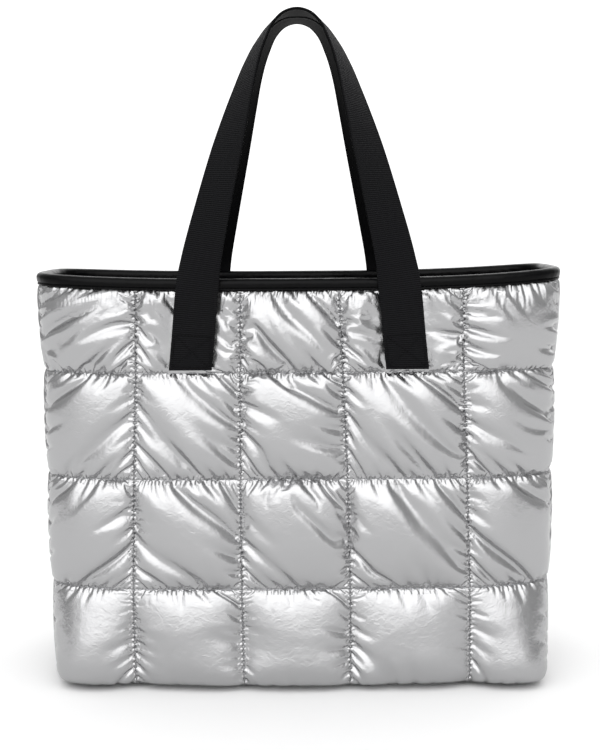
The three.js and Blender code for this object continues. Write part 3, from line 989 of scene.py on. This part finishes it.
ROW_SEEDS = (21, 22, 23)
COLUMN_SEEDS = (24, 25, 26, 27)
RIM_SEED = 29


class ToteSeamSettings(bpy.types.PropertyGroup):
    """Sizes of the gathers and stitches along the seams"""

    reach: a_length("Gather reach", "How far gathers run from a stitched line", 0.0075)
    column_pitch: a_length("Column gather pitch", "Distance between gathers along upright seams", 0.0045)
    column_height: a_length("Column gather height", "Height of gathers along upright seams", 0.0017)
    row_pitch: a_length("Row gather pitch", "Distance between gathers along level seams", 0.0034)
    row_height: a_length("Row gather height", "Height of gathers along level seams", 0.0006)
    row_reach: a_length("Row gather reach", "How far gathers run from a level seam", 0.0065)
    top_reach: a_length("Rim gather reach", "How far creases run down from the rim", 0.026)
    top_pitch: a_length("Rim gather pitch", "Distance between creases below the rim", 0.0062)
    top_height: a_length("Rim gather height", "Height of the creases below the rim", 0.0015)
    stitch_length: a_length("Stitch length", "Length of one stitch", 0.0026)
    stitch_gap: a_length("Stitch gap", "Gap between two stitches", 0.0009)
    thread_radius: a_length("Thread radius", "Half of the thread's thickness", 0.0003)


class TOTE_OT_add_seams(bpy.types.Operator):
    """Adds the gathers and stitches along the stitched rows and columns"""

    bl_idname = "tote.add_seams"
    bl_label = "Add seams"

    def execute(self, context):
        settings = context.scene.tote_seams
        silver = bpy.data.materials[SILVER_NAME]
        grey = thread("polyester_thread_twisted_grey", context.scene.tote_colours.grey_thread)
        columns = PANEL_COLUMNS[1:-1]
        by_row = (settings.row_reach, settings.row_pitch, settings.row_height)
        by_rim = (settings.top_reach, settings.top_pitch, settings.top_height)
        by_column = (settings.reach, settings.column_pitch, settings.column_height)
        seams = [(True, up, by_row, seed) for up, seed in zip(ROW_EDGES[1:4], ROW_SEEDS)]
        seams.append((True, ROW_EDGES[4], by_rim, RIM_SEED))
        seams += [(False, x, by_column, seed) for x, seed in zip(columns, COLUMN_SEEDS)]
        for name, coarse in (("front_panel", 1.0), ("back_panel", 1.5)):
            world, xs, zs = clothes[name]
            normals = grid_normals(world)
            gathers = []
            for level, at, sizes, seed in seams:
                strip = gathered_strip(
                    world, normals, xs, zs, level, at, columns if level else (), sizes, coarse, seed,
                    top=seed == RIM_SEED,
                )
                gathers.append((strip, grid_faces(*strip.shape[:2]).tolist()))
            rows = [int(np.argmin(np.abs(zs - up))) for up in ROW_EDGES[1:4]]
            # The side seams' stitches lie one line of the cloth in from its edges
            lines = [1, -2] + [int(np.argmin(np.abs(xs - x))) for x in columns]
            sewn = [(world[row, 4:-4], normals[row, 4:-4]) for row in rows]
            sewn += [(world[4:, line], normals[4:, line]) for line in lines]
            thread_sizes = (settings.stitch_length, settings.stitch_gap, settings.thread_radius)
            stitches = [stitch_run(line, outward, *thread_sizes) for line, outward in sewn]
            points, faces = join_parts(gathers)
            make_piece(name + "_gathers", points, faces, silver)
            points, faces = join_parts(stitches)
            make_piece(name + "_stitches", points, faces, grey)
        return {"FINISHED"}


# Base, lining and binding

BASE_EDGE = 2.6 * MM
BASE_UNDERSIDE = (
    # share of the way out to the edge, and height: the underside is a little hollow
    (0.3, 0.5 * MM),
    (0.6, 0.35 * MM),
    (0.85, 0.1 * MM),
    (0.955, 0.0),
)
BASE_TOP_SHARES = (0.8, 0.4)
LINING_SEED = 31
LINING_HEIGHTS = (12, 20, 60, 120, 180, 240, 290, *range(310, 372, 5), 374, 377.5)
BINDING_SEED = 41
ROLL_HEIGHT = 4.6 * MM
ROLL_SWELL = 0.45 * MM


def swept_loops(loops):
    """Points and faces of closed loops joined one to the next and closed at both ends."""
    count, around = loops.shape[:2]
    faces = grid_faces(count, around, wrap=True).tolist() + end_faces(count, around)
    return loops.reshape(-1, 3), faces


class TOTE_OT_add_base(bpy.types.Operator):
    """Adds the stiffened base that the bag stands on"""

    bl_idname = "tote.add_base"
    bl_label = "Add base"

    def execute(self, context):
        around = np.linspace(0, 4 * QUARTER, 360, endpoint=False)
        plan_x, plan_y = plan_point(around)
        wide, deep = BASE_HIGH[0] / WALL_HALF_WIDTH, BASE_HIGH[1] / WALL_HALF_DEPTH
        top = BASE_HIGH[2]
        edge = BASE_EDGE
        loops = []
        for share, z in BASE_UNDERSIDE:
            loops.append(np.stack([plan_x * wide * share, plan_y * deep * share, 0 * plan_x + z], -1))
        for angle in np.linspace(-90, 90, 9):
            turn = radians(angle)
            inset = edge * (1 - cos(turn))
            z = edge + edge * sin(turn) if angle < 0 else top - edge + edge * sin(turn)
            loops.append(np.stack([
                plan_x * wide * (1 - inset / BASE_HIGH[0]), plan_y * deep * (1 - inset / BASE_HIGH[1]),
                0 * plan_x + z,
            ], -1))
        for share in BASE_TOP_SHARES:
            loops.append(np.stack([plan_x * wide * share, plan_y * deep * share, 0 * plan_x + top], -1))
        points, faces = swept_loops(foot_squared(np.asarray(loops)))
        silver = bpy.data.materials[SILVER_NAME]
        make_piece("base", points, faces, silver, ["base_panel"])
        return {"FINISHED"}


class ToteLiningSettings(bpy.types.PropertyGroup):
    """Sizes of the lining's gathers"""

    gather_pitch: a_length("Gather pitch", "Distance between the lining's upright gathers", 0.0065)
    gather_depth: a_length("Gather depth", "How far the gathers stand in from the wall", 0.0014)


class TOTE_OT_add_lining(bpy.types.Operator):
    """Adds the thin gathered lining as a cup inside the walls"""

    bl_idname = "tote.add_lining"
    bl_label = "Add lining"

    def execute(self, context):
        settings = context.scene.tote_lining
        rng = np.random.default_rng(LINING_SEED)
        around = np.linspace(0, 4 * QUARTER, 900, endpoint=False)
        phase = 2 * pi * around / settings.gather_pitch + 2.2 * ripples(rng, around, 0 * around, 30 * MM)
        outer, inner = [], []
        for z in np.array(LINING_HEIGHTS) * MM:
            up = up_of_height(max(z, CURL_Z[-1])) if z > CURL_Z[-1] else np.interp(z, CURL_Z, CURL_UP)
            near_rim = np.clip((z - 200 * MM) / (120 * MM), 0.15, 1)
            fold = settings.gather_depth * near_rim * (0.5 + 0.5 * np.cos(phase + 9 * z))
            fold += 0.8 * MM * near_rim * (0.5 + 0.25 * ripples(rng, around, 0 * around, 25 * MM))
            outer.append(wall_point(around, up, -LINING_GAP - 0.1 * MM))
            inner.append(wall_point(around, up, -LINING_GAP - 0.7 * MM - np.clip(fold, 0, 3 * MM)))
        floor = np.array(inner[0])
        floor[:, 2] = LINING_LOW[2] + LINING_THICKNESS
        under = np.array(outer[0])
        under[:, 2] = LINING_LOW[2]
        points, faces = swept_loops(np.asarray([under] + outer + inner[::-1] + [floor]))
        cloth = black_lining_cloth(context.scene.tote_colours)
        make_piece("lining_cloth", points, faces, cloth, ["lining"])
        return {"FINISHED"}


def binding_section():
    """The binding's section: distance out from the wall's inner face, and height below the rim.

    From the lower edge outside, past the topstitch groove, over the rolled top and down inside.
    """
    out_face = SEAM_THICKNESS + BINDING_GAP + BINDING_THICKNESS
    in_face = -LINING_GAP - LINING_THICKNESS - BINDING_GAP - BINDING_THICKNESS
    low = BINDING_HEIGHT - BINDING_GAP
    middle = (out_face + in_face) / 2
    half = (out_face - in_face) / 2
    section = [
        (out_face - 1.5 * MM, low), (out_face - 0.5 * MM, low), (out_face - 0.1 * MM, low - 0.3 * MM),
        (out_face + 0.1 * MM, low - 0.8 * MM), (out_face - 0.2 * MM, low - 1.3 * MM),
        (out_face - 0.75 * MM, low - 1.6 * MM), (out_face - 0.8 * MM, low - 1.9 * MM),
        (out_face - 0.3 * MM, low - 2.3 * MM), (out_face + 0.25 * MM, low - 3.0 * MM),
    ]
    reach = half + ROLL_SWELL
    for angle in np.linspace(0, 180, 13):
        section.append((middle + reach * cos(radians(angle)), ROLL_HEIGHT * (1 - sin(radians(angle)))))
    section += [
        (in_face - 0.2 * MM, low - 2.5 * MM), (in_face, low), (in_face + 1.5 * MM, low),
        (in_face + 1.6 * MM, BINDING_THICKNESS), (out_face - 1.6 * MM, BINDING_THICKNESS),
    ]
    return section


class TOTE_OT_add_binding(bpy.types.Operator):
    """Adds the black strip folded over the rim, with its topstitching"""

    bl_idname = "tote.add_binding"
    bl_label = "Add rim binding"

    def execute(self, context):
        rng = np.random.default_rng(BINDING_SEED)
        around = np.linspace(0, 4 * QUARTER, 720, endpoint=False)
        swell = 0.22 * MM * ripples(rng, around, 0 * around, 9 * MM)
        loops = []
        for off, drop in binding_section():
            up = up_of_height(RIM_HEIGHT - drop)
            outward = 1 if off > 0 else -1
            # The tape swells unevenly over its roll, and less at its stitched edge
            soft = 1 if drop < 8 * MM else 0.4
            loops.append(wall_point(around, up, off + outward * soft * swell))
        loops = np.asarray(loops)
        count = loops.shape[1]
        faces = grid_faces(len(loops), count, wrap=True).tolist()
        last = (len(loops) - 1) * count
        for i in range(count):
            j = (i + 1) % count
            faces.append([last + i, last + j, j, i])
        tape = black_trim(context.scene.tote_colours)
        make_piece("binding", loops, faces, tape, ["rim_binding"])
        groove_up = up_of_height(RIM_HEIGHT - BINDING_HEIGHT + BINDING_GAP + 1.75 * MM)
        groove_off = SEAM_THICKNESS + BINDING_GAP + BINDING_THICKNESS - 0.55 * MM
        groove = wall_point(around, groove_up, groove_off)
        groove = np.concatenate([groove, groove[:1]])
        normal_up = up_of_height(RIM_HEIGHT - 9 * MM)
        outward = wall_point(around, normal_up, 10 * MM) - wall_point(around, normal_up, 0)
        outward = np.concatenate([outward, outward[:1]])
        outward /= np.linalg.norm(outward, axis=1, keepdims=True)
        points, faces = stitch_run(groove, outward, *TOPSTITCH)
        black = thread(BLACK_THREAD_NAME, context.scene.tote_colours.black_thread)
        make_piece("binding_stitches", points, faces, black)
        return {"FINISHED"}


# Straps


def centripetal_curve(points, shares):
    """Points of a centripetal Catmull-Rom curve through all the given points."""
    points = np.asarray(points, float)
    count = len(points)
    result = []
    for share in shares:
        place = min(max(share, 0), 1) * (count - 1)
        i = min(int(place), count - 2)
        w = place - i
        p1, p2 = points[i], points[i + 1]
        p0 = points[i - 1] if i > 0 else 2 * points[0] - points[1]
        p3 = points[i + 2] if i + 2 < count else 2 * points[-1] - points[-2]
        d0, d1, d2 = (max(np.linalg.norm(b - a) ** 0.5, 1e-4) for a, b in ((p0, p1), (p1, p2), (p2, p3)))
        t1 = ((p1 - p0) / d0 - (p2 - p0) / (d0 + d1) + (p2 - p1) / d1) * d1
        t2 = ((p2 - p1) / d1 - (p3 - p1) / (d1 + d2) + (p3 - p2) / d2) * d1
        c2 = -3 * p1 + 3 * p2 - 2 * t1 - t2
        c3 = 2 * p1 - 2 * p2 + t1 + t2
        result.append(p1 + t1 * w + c2 * w * w + c3 * w ** 3)
    return np.array(result)


def strap_line(steps=420):
    """The strap's middle line, its tangents and its twist, evenly spaced from end to end."""
    left = [(-spread * STRAP_HALF_SPREAD, -(STRAP_SEAT + (STRAP_APEX_SEAT - STRAP_SEAT) * lean),
             RIM_HEIGHT + rise * STRAP_RISE) for rise, spread, lean, _ in STRAP_PATH]
    path = left + [(-x, y, z) for x, y, z in left[-2::-1]]
    twists = [row[3] for row in STRAP_PATH]
    twists = twists + twists[-2::-1]
    fine = np.linspace(0, 1, 4001)
    line = centripetal_curve(path, fine)
    turn = centripetal_curve([(i * 20.0, t, 0) for i, t in enumerate(twists)], fine)[:, 1]
    run = run_along(line)
    even = np.linspace(0, run[-1], steps)
    middle = vectors_at(even, run, line)
    twist = np.radians(np.interp(even, run, turn))
    tangent = np.gradient(middle, axis=0)
    tangent /= np.linalg.norm(tangent, axis=1, keepdims=True)
    return middle, tangent, twist, even


def strap_frame(tangent, twist):
    """Directions across the strap and out of its face."""
    forward = np.array([0.0, -1.0, 0.0]) - tangent * (-tangent[:, 1:2])
    forward /= np.linalg.norm(forward, axis=1, keepdims=True)
    side = np.cross(tangent, forward)
    c, s = np.cos(twist)[:, None], np.sin(twist)[:, None]
    return side * c + forward * s, forward * c - side * s


def turned(points, half_turn):
    """Points as they are, or turned by a half turn about the bag's upright middle line."""
    sign = -1 if half_turn else 1
    return np.asarray(points) * np.array([sign, sign, 1])


class TOTE_OT_add_straps(bpy.types.Operator):
    """Adds the two woven straps with their folded, stitched ends"""

    bl_idname = "tote.add_straps"
    bl_label = "Add straps"

    def execute(self, context):
        webbing = black_webbing(context.scene.tote_colours)
        black = bpy.data.materials[BLACK_THREAD_NAME]
        middle, tangent, twist, run = strap_line()
        across, face = strap_frame(tangent, twist)
        from_end = np.minimum(run, run[-1] - run)
        # The ends are cut level although the straps lean
        level = across * np.array([1, 1, 0])
        level /= np.sum(level * across, axis=1, keepdims=True)
        near = np.clip(1 - from_end / LEVEL_END_REACH, 0, 1)[:, None]
        across = across * (1 - near) + level * near
        half, front = STRAP_WIDTH / 2, STRAP_THICKNESS / 2
        # The folded ends are thicker at the back, and the very ends are rounded off
        back_depth = np.where(from_end < STRAP_FOLD_HEIGHT, STRAP_FOLD_THICKNESS, STRAP_THICKNESS)
        end = np.clip(from_end / (1.2 * MM), 0, 1)
        section = strap_section()
        ring = []
        for share, facing in section:
            depth = np.where(facing > 0, front * facing, front - back_depth * (0.5 - 0.5 * facing))
            depth = depth - (1 - end) * np.sign(facing) * 0.5 * MM
            ring.append(middle + across * (half * share) + face * depth[:, None])
        loops = np.stack(ring, 1)
        place = np.stack([
            np.broadcast_to(np.array([half * share for share, _ in section]), loops.shape[:2]),
            np.broadcast_to(run[:, None], loops.shape[:2]),
            # 1 on the webbing's face and 0 on its back, where the material paints shade
            np.broadcast_to(np.array([float(facing > 0) for _, facing in section]), loops.shape[:2]),
        ], -1)
        points, faces = swept_loops(loops)
        faces = [one[::-1] for one in faces]
        sewn = self.sewn_lines(middle, across, face, run)
        stitches = [stitch_run(line, outward, *STRAP_STITCH) for line, outward in sewn]
        stitch_points, stitch_faces = join_parts(stitches)
        for half_turn, name in enumerate(("front_handle", "back_handle")):
            strap = make_piece(
                name + "_webbing", turned(points, half_turn), faces, webbing, [name],
            )
            add_point_vectors(strap, "strap_place", place)
            make_piece(
                name + "_stitches", turned(stitch_points, half_turn), stitch_faces, black,
            )
        return {"FINISHED"}

    @staticmethod
    def sewn_lines(middle, across, face, run):
        """The box and cross on both ends of a strap, as lines of points with normals."""
        lines = []
        side, low, high = SEWN_BOX_HALF_WIDTH, SEWN_BOX_LOW, SEWN_BOX_HIGH
        corners = [(-side, low), (side, low), (side, high), (-side, high)]
        paths = [(corners[i], corners[(i + 1) % 4]) for i in range(4)]
        paths += [(corners[0], corners[2]), (corners[1], corners[3])]
        for flip in (False, True):
            for (a0, s0), (a1, s1) in paths:
                t = np.linspace(0, 1, 30)
                a, s = a0 + (a1 - a0) * t, s0 + (s1 - s0) * t
                at = run[-1] - s if flip else s
                spot, wide, out = (vectors_at(at, run, v) for v in (middle, across, face))
                lines.append((spot + wide * a[:, None] + out * (STRAP_THICKNESS / 2), out))
        return lines


def strap_section():
    """The strap's section: shares of its half width, and +1 on its face to -1 on its back."""
    top = [(1.0, 0.0), (0.995, 0.5), (0.975, 0.85), (0.93, 1.0), (0.9, 0.88), (0.6, 1.0), (0.0, 1.0)]
    face = top + [(-a, b) for a, b in top[-2::-1]]
    back = [(a, -b) for a, b in face[-2:0:-1]]
    return face + back


# Studio

FLOOR_SIZE = 40
OVERHEAD_WIDTH = radians(100)
OVERHEAD_LEAN = radians(12)
LIGHT_FROM_SIDES = 0.3
LIGHT_FROM_ABOVE = 1.32
BACKDROP_BRIGHTER = 0.9
# What shines sees this grey studio, from straight down, through the horizon at 0.5, to straight up
GREY_LEVELS = ((0.0, 0.74), (0.35, 0.74), (0.46, 0.64), (0.53, 0.49), (0.60, 0.51), (1.0, 0.72))
SOFT_BOXES = (
    # towards, inner and outer half angle in degrees, brightness above the rest
    ((-0.15, -1.0, 0.62), 5, 55, 2.35),
    ((0.2, 1.0, 0.62), 5, 50, 1.5),
)


class ToteStageSettings(bpy.types.PropertyGroup):
    """Camera, overhead light and floor"""

    camera_place: bpy.props.FloatVectorProperty(
        name="Camera place", description="Where the camera stands", default=(0.0009, -1.075, 0.4345),
        unit="LENGTH",
    )
    camera_pitch: bpy.props.FloatProperty(
        name="Camera pitch", description="How far the camera looks down", default=radians(8),
        subtype="ANGLE",
    )
    camera_roll: bpy.props.FloatProperty(
        name="Camera roll", description="How far the camera leans", default=radians(-0.35),
        subtype="ANGLE",
    )
    overhead_strength: bpy.props.FloatProperty(
        name="Overhead light", description="Strength of the wide soft light overhead", default=1.25,
    )
    floor_colour: a_colour("Floor", "Colour of the painted studio floor", "f0f0f0")
    focal_length: bpy.props.FloatProperty(
        name="Focal length", description="Lens length for a 36 mm tall picture", default=54.24,
    )


def studio_world():
    """A white cyclorama for the floor and background, and a grey studio for what shines."""
    world = bpy.data.worlds.new("white studio")
    bpy.context.scene.world = world
    world.use_nodes = True
    tree = world.node_tree
    tree.nodes.clear()
    rays = add_node(tree, "ShaderNodeLightPath")
    place = add_node(tree, "ShaderNodeTexCoord")
    parts = add_node(tree, "ShaderNodeSeparateXYZ", links={"Vector": place.outputs["Generated"]})
    # More light comes from above than from the sides, which darkens the line where the bag stands
    from_above = add_node(
        tree, "ShaderNodeMapRange", {"To Min": LIGHT_FROM_SIDES, "To Max": LIGHT_FROM_ABOVE},
        {"Value": parts.outputs["Z"]},
    )
    # The backdrop that the camera sees is white all over
    backdrop = add_node(
        tree, "ShaderNodeMath", {1: BACKDROP_BRIGHTER},
        {0: rays.outputs["Is Camera Ray"], 2: from_above.outputs["Result"]}, operation="MULTIPLY_ADD",
    )
    white = add_node(
        tree, "ShaderNodeBackground", {"Color": (1, 1, 1, 1)}, {"Strength": backdrop.outputs[0]},
    )
    height = add_node(
        tree, "ShaderNodeMapRange", {"From Min": -1.0, "From Max": 1.0}, {"Value": parts.outputs["Z"]},
    )
    ramp = add_node(tree, "ShaderNodeValToRGB", links={"Fac": height.outputs["Result"]})
    for position, _ in GREY_LEVELS[1:-1]:
        ramp.color_ramp.elements.new(position)
    for element, (_, level) in zip(ramp.color_ramp.elements, GREY_LEVELS):
        element.color = (level, level, level, 1)
    light = ramp.outputs["Color"]
    # Soft boxes that only what shines can see: where they are, how wide, and how bright
    for aim, inner, outer, level in SOFT_BOXES:
        aim = Vector(aim).normalized()
        facing = add_node(
            tree, "ShaderNodeVectorMath", {1: aim}, {0: place.outputs["Generated"]},
            operation="DOT_PRODUCT",
        )
        share = add_node(
            tree, "ShaderNodeMapRange",
            {"From Min": cos(radians(outer)), "From Max": cos(radians(inner)), "To Max": level},
            {"Value": facing.outputs["Value"]}, interpolation_type="SMOOTHSTEP",
        )
        light = add_node(
            tree, "ShaderNodeMix", {"Factor": 1.0}, data_type="RGBA", blend_type="ADD",
            links={"A": light, "B": share.outputs["Result"]},
        ).outputs["Result"]
    grey = add_node(tree, "ShaderNodeBackground", links={"Color": light})
    mix = add_node(tree, "ShaderNodeMixShader", links={
        0: rays.outputs["Is Glossy Ray"], 1: white.outputs[0], 2: grey.outputs[0],
    })
    add_node(tree, "ShaderNodeOutputWorld", links={"Surface": mix.outputs[0]})


class TOTE_OT_add_stage(bpy.types.Operator):
    """Adds the white floor, the soft lights and the camera"""

    bl_idname = "tote.add_stage"
    bl_label = "Add stage"

    def execute(self, context):
        settings = context.scene.tote_stage
        bpy.ops.mesh.primitive_plane_add(size=FLOOR_SIZE)
        floor = context.object
        floor.name = "floor"
        paint, _, _ = new_material("painted_studio_floor_matt_white", settings.floor_colour, 0.0, 0.9)
        floor.data.materials.append(paint)
        studio_world()
        overhead = bpy.data.lights.new("wide soft light overhead", "SUN")
        overhead.energy = settings.overhead_strength
        overhead.angle = OVERHEAD_WIDTH
        lamp = bpy.data.objects.new(overhead.name, overhead)
        lamp.rotation_euler = (OVERHEAD_LEAN, 0, 0)
        lamp.visible_glossy = False
        context.scene.collection.objects.link(lamp)
        camera = bpy.data.cameras.new("camera")
        camera.sensor_fit = "VERTICAL"
        camera.sensor_width = camera.sensor_height = 36
        camera.lens = settings.focal_length
        holder = bpy.data.objects.new("camera", camera)
        context.scene.collection.objects.link(holder)
        holder.location = settings.camera_place
        look = Matrix.Rotation(pi / 2 - settings.camera_pitch, 3, "X")
        holder.rotation_euler = (look @ Matrix.Rotation(settings.camera_roll, 3, "Z")).to_euler()
        context.scene.camera = holder
        context.scene.view_settings.view_transform = "Standard"
        return {"FINISHED"}


class TOTE_PT_builder(bpy.types.Panel):
    """Buttons and sizes of the bag"""

    bl_label = "Puffer tote"
    bl_space_type = "VIEW_3D"
    bl_region_type = "UI"
    bl_category = "Tote"

    def draw(self, context):
        for group in SETTINGS:
            box = self.layout.box()
            for field in SETTINGS[group].__annotations__:
                box.prop(getattr(context.scene, group), field)
        for operator in OPERATORS:
            self.layout.operator(operator.bl_idname)


SETTINGS = {
    "tote_colours": ToteColourSettings,
    "tote_quilt": ToteQuiltSettings,
    "tote_seams": ToteSeamSettings,
    "tote_lining": ToteLiningSettings,
    "tote_stage": ToteStageSettings,
}
OPERATORS = (
    TOTE_OT_add_quilted_panels,
    TOTE_OT_add_seams,
    TOTE_OT_add_base,
    TOTE_OT_add_lining,
    TOTE_OT_add_binding,
    TOTE_OT_add_straps,
    TOTE_OT_add_stage,
)


def register():
    """Registers the settings, operators and panel."""
    for kind in (*SETTINGS.values(), *OPERATORS, TOTE_PT_builder):
        bpy.utils.register_class(kind)
    for name, kind in SETTINGS.items():
        setattr(bpy.types.Scene, name, bpy.props.PointerProperty(type=kind))


def unregister():
    """Removes what register() added."""
    for name in SETTINGS:
        delattr(bpy.types.Scene, name)
    for kind in (TOTE_PT_builder, *OPERATORS[::-1], *list(SETTINGS.values())[::-1]):
        bpy.utils.unregister_class(kind)


def main():
    """Builds the whole bag and its stage."""
    register()
    bpy.ops.tote.add_quilted_panels()
    bpy.ops.tote.add_seams()
    bpy.ops.tote.add_base()
    bpy.ops.tote.add_lining()
    bpy.ops.tote.add_binding()
    bpy.ops.tote.add_straps()
    bpy.ops.tote.add_stage()


if __name__ == "__main__":
    main()
